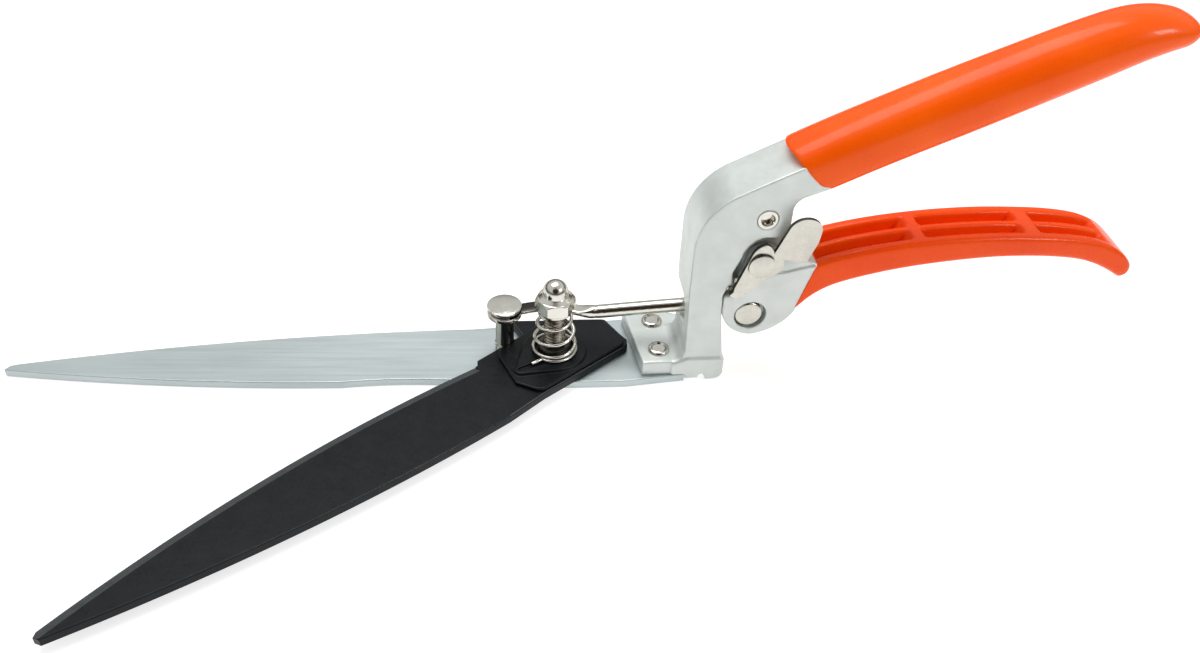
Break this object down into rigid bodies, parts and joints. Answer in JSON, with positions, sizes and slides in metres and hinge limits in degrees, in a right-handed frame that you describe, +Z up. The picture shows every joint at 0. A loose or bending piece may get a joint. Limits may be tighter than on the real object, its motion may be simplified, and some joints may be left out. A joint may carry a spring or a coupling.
{
  "type": "grass shears",
  "caption": "Hand grass shears: a fixed blade under an angled handle, and an upper blade that a squeezed lever swings by a pull rod.",
  "frame": {"origin": "on the blade bolt's axis, at the underside of the fixed blade", "axes": "+X from the blade tips to the handles, +Z up out of the blades along the bolt, +Y to the side away from the latch; open rest position"},
  "size_m": [0.3174, 0.105, 0.1091],
  "materials": {
    "blade_steel": "matt, ground lengthwise",
    "coated_steel": "satin black low-friction coating",
    "dark_steel": "blackened",
    "nickel": "bright plated",
    "spring_steel": "plated wire",
    "cast_silver": "silver lacquered casting",
    "orange_dip": "glossy dipped vinyl"
  },
  "bodies": {
    "handle": {"fixed_blade": "blade_steel", "pivot_bolt": "dark_steel", "pivot_bushing": "dark_steel", "nut_washer": "nickel", "cap_nut": "nickel", "handle_casting": "cast_silver", "upper_grip": "orange_dip", "blade_rivets": "nickel", "spring_anchor_pin": "nickel", "lever_pin": "nickel", "lever_pin_clip": "spring_steel", "return_spring": "spring_steel"},
    "blade": {"moving_blade": "coated_steel", "pivot_cap": "coated_steel", "tension_spring": "spring_steel", "rod_post": "nickel"},
    "rod": {"pull_rod": "nickel"},
    "lever": {"lever_casting": "cast_silver", "lever_grip": "orange_dip", "rod_pin": "nickel"},
    "latch": {"latch_plate": "nickel", "latch_washer": "spring_steel"}
  },
  "joints": [
    {"name": "squeeze", "type": "hinge", "parent": "handle", "child": "lever", "pos_m": [0.0543, 0, 0.0411], "axis": [0, -1, 0], "range_deg": [0, 20.3], "stiffness_Nm_per_rad": 2.2, "springref_deg": -11.46, "deforming": ["return_spring"]},
    {"name": "blade_swing", "type": "hinge", "parent": "handle", "child": "blade", "pos_m": [0, 0, 0], "axis": [0, 0, -1], "range_deg": [0, 39.5]},
    {"name": "rod_swing", "type": "hinge", "parent": "blade", "child": "rod", "pos_m": [-0.01383, 0.00625, 0.015], "axis": [0, 0, 1], "range_deg": [0, 33.2]},
    {"name": "latch_turn", "type": "hinge", "parent": "lever", "child": "latch", "pos_m": [0.0543, 0, 0.0411], "axis": [0, 1, 0], "range_deg": [0, 12]}
  ],
  "couplings": [
    {"joint": "blade_swing", "follows": "squeeze", "ratio": 1.9458},
    {"joint": "rod_swing", "follows": "squeeze", "ratio": 1.6354}
  ]
}
